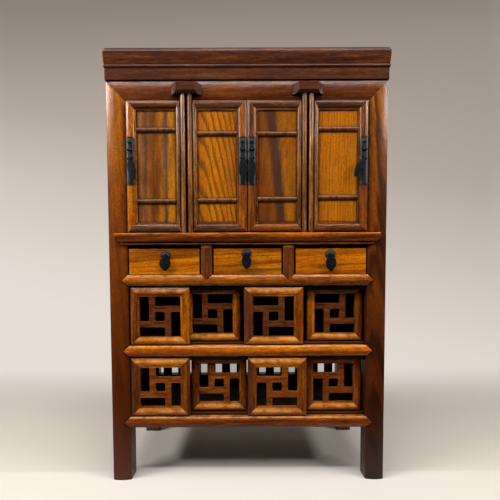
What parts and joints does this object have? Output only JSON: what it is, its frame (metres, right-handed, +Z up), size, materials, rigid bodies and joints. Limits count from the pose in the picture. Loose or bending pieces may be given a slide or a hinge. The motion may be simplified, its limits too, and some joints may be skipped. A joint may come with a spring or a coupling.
{
  "type": "jewelry cabinet",
  "caption": "Table-top cabinet in stained elm with pivot doors, small drawers and two tiers closed by sliding pinwheel fretwork panels.",
  "frame": {"origin": "Centre of the footprint on the ground, under the middle of the object's box.", "axes": "+Z up, the front with doors and drawers faces -Y, +X to the right seen from the front."},
  "size_m": [0.3662, 0.2116, 0.564],
  "materials": {
    "dark_stained_elm": "glossy lacquer over dark stain, worn along the edges",
    "red_stained_elm": "glossy lacquer over red-brown stain, worn along the edges",
    "brown_stained_elm": "glossy lacquer over brown stain, pale where it is worn",
    "orange_stained_elm": "glossy lacquer, strong open elm grain",
    "bare_softwood": "unstained inner boards, matt",
    "black_iron": "hand-hammered black iron, slightly shiny"
  },
  "bodies": {
    "cabinet": {"left_front_leg": "red_stained_elm", "right_front_leg": "red_stained_elm", "left_rear_leg": "red_stained_elm", "right_rear_leg": "red_stained_elm", "front_top_rail": "red_stained_elm", "door_sill": "brown_stained_elm", "drawer_rail": "brown_stained_elm", "middle_rail": "brown_stained_elm", "bottom_rail": "brown_stained_elm", "crown_moulding": "dark_stained_elm", "top_panel": "dark_stained_elm", "frieze": "dark_stained_elm", "pivot_blocks": "dark_stained_elm", "drawer_dividers": "brown_stained_elm", "side_rails": "red_stained_elm", "side_panels": "brown_stained_elm", "back_rails": "dark_stained_elm", "back_panels": "dark_stained_elm", "back_slats": "brown_stained_elm", "cupboard_floor": "bare_softwood", "drawer_floor": "bare_softwood", "tier_floors": "brown_stained_elm", "drawer_guides": "bare_softwood", "panel_tracks": "brown_stained_elm"},
    "door_1": {"door_1_frame": "red_stained_elm", "door_1_panel": "orange_stained_elm", "door_1_pull_plate": "black_iron"},
    "door_1_leaf": {"door_1_pendant": "black_iron"},
    "door_2": {"door_2_frame": "red_stained_elm", "door_2_panel": "orange_stained_elm", "door_2_pull_plate": "black_iron"},
    "door_2_leaf": {"door_2_pendant": "black_iron"},
    "door_3": {"door_3_frame": "red_stained_elm", "door_3_panel": "orange_stained_elm", "door_3_pull_plate": "black_iron"},
    "door_3_leaf": {"door_3_pendant": "black_iron"},
    "door_4": {"door_4_frame": "red_stained_elm", "door_4_panel": "orange_stained_elm", "door_4_pull_plate": "black_iron"},
    "door_4_leaf": {"door_4_pendant": "black_iron"},
    "drawer_1": {"drawer_1_front": "orange_stained_elm", "drawer_1_box": "bare_softwood", "drawer_1_rose": "black_iron"},
    "drawer_1_leaf": {"drawer_1_pendant": "black_iron"},
    "drawer_2": {"drawer_2_front": "orange_stained_elm", "drawer_2_box": "bare_softwood", "drawer_2_rose": "black_iron"},
    "drawer_2_leaf": {"drawer_2_pendant": "black_iron"},
    "drawer_3": {"drawer_3_front": "orange_stained_elm", "drawer_3_box": "bare_softwood", "drawer_3_rose": "black_iron"},
    "drawer_3_leaf": {"drawer_3_pendant": "black_iron"},
    "upper_panel_1": {"upper_panel_1": "brown_stained_elm"},
    "upper_panel_2": {"upper_panel_2": "brown_stained_elm"},
    "upper_panel_3": {"upper_panel_3": "brown_stained_elm"},
    "upper_panel_4": {"upper_panel_4": "brown_stained_elm"},
    "lower_panel_1": {"lower_panel_1": "brown_stained_elm"},
    "lower_panel_2": {"lower_panel_2": "brown_stained_elm"},
    "lower_panel_3": {"lower_panel_3": "brown_stained_elm"},
    "lower_panel_4": {"lower_panel_4": "brown_stained_elm"}
  },
  "joints": [
    {"name": "door_1_hinge", "type": "hinge", "parent": "cabinet", "child": "door_1", "pos_m": [-0.0818, -0.0988, 0.328], "axis": [0, 0, 1], "range_deg": [0, 85]},
    {"name": "door_1_leaf_swing", "type": "hinge", "parent": "door_1", "child": "door_1_leaf", "pos_m": [-0.1491, -0.1037, 0.4221], "axis": [0.9781, 0, 0.2079], "range_deg": [-80, 0]},
    {"name": "door_2_hinge", "type": "hinge", "parent": "cabinet", "child": "door_2", "pos_m": [-0.073, -0.0988, 0.328], "axis": [0, 0, -1], "range_deg": [0, 85]},
    {"name": "door_2_leaf_swing", "type": "hinge", "parent": "door_2", "child": "door_2_leaf", "pos_m": [-0.0057, -0.1037, 0.4221], "axis": [1, 0, 0], "range_deg": [-80, 0]},
    {"name": "door_3_hinge", "type": "hinge", "parent": "cabinet", "child": "door_3", "pos_m": [0.073, -0.0988, 0.328], "axis": [0, 0, 1], "range_deg": [0, 85]},
    {"name": "door_3_leaf_swing", "type": "hinge", "parent": "door_3", "child": "door_3_leaf", "pos_m": [0.0057, -0.1037, 0.4221], "axis": [1, 0, 0], "range_deg": [-80, 0]},
    {"name": "door_4_hinge", "type": "hinge", "parent": "cabinet", "child": "door_4", "pos_m": [0.0818, -0.0988, 0.328], "axis": [0, 0, -1], "range_deg": [0, 85]},
    {"name": "door_4_leaf_swing", "type": "hinge", "parent": "door_4", "child": "door_4_leaf", "pos_m": [0.1491, -0.1037, 0.4221], "axis": [0.8746, 0, -0.4848], "range_deg": [-80, 0]},
    {"name": "drawer_1_slide", "type": "slide", "parent": "cabinet", "child": "drawer_1", "axis": [0, -1, 0], "range_m": [0, 0.13]},
    {"name": "drawer_1_leaf_swing", "type": "hinge", "parent": "drawer_1", "child": "drawer_1_leaf", "pos_m": [-0.10695, -0.09855, 0.2993], "axis": [1, 0, 0], "range_deg": [-80, 0]},
    {"name": "drawer_2_slide", "type": "slide", "parent": "cabinet", "child": "drawer_2", "axis": [0, -1, 0], "range_m": [0, 0.13]},
    {"name": "drawer_2_leaf_swing", "type": "hinge", "parent": "drawer_2", "child": "drawer_2_leaf", "pos_m": [-0.0013, -0.09855, 0.3018], "axis": [1, 0, 0], "range_deg": [-80, 0]},
    {"name": "drawer_3_slide", "type": "slide", "parent": "cabinet", "child": "drawer_3", "axis": [0, -1, 0], "range_m": [0, 0.13]},
    {"name": "drawer_3_leaf_swing", "type": "hinge", "parent": "drawer_3", "child": "drawer_3_leaf", "pos_m": [0.10805, -0.09855, 0.3003], "axis": [1, 0, 0], "range_deg": [-80, 0]},
    {"name": "upper_panel_1_slide", "type": "slide", "parent": "cabinet", "child": "upper_panel_1", "axis": [1, 0, 0], "range_m": [-0.0012, 0.071]},
    {"name": "upper_panel_2_slide", "type": "slide", "parent": "cabinet", "child": "upper_panel_2", "axis": [1, 0, 0], "range_m": [-0.0712, 0]},
    {"name": "upper_panel_3_slide", "type": "slide", "parent": "cabinet", "child": "upper_panel_3", "axis": [1, 0, 0], "range_m": [0, 0.0828]},
    {"name": "upper_panel_4_slide", "type": "slide", "parent": "cabinet", "child": "upper_panel_4", "axis": [1, 0, 0], "range_m": [-0.0886, 0.0019]},
    {"name": "lower_panel_1_slide", "type": "slide", "parent": "cabinet", "child": "lower_panel_1", "axis": [1, 0, 0], "range_m": [-0.0004, 0.0765]},
    {"name": "lower_panel_2_slide", "type": "slide", "parent": "cabinet", "child": "lower_panel_2", "axis": [1, 0, 0], "range_m": [-0.0794, 0]},
    {"name": "lower_panel_3_slide", "type": "slide", "parent": "cabinet", "child": "lower_panel_3", "axis": [1, 0, 0], "range_m": [0, 0.0781]},
    {"name": "lower_panel_4_slide", "type": "slide", "parent": "cabinet", "child": "lower_panel_4", "axis": [1, 0, 0], "range_m": [-0.0796, 0.0028]}
  ]
}
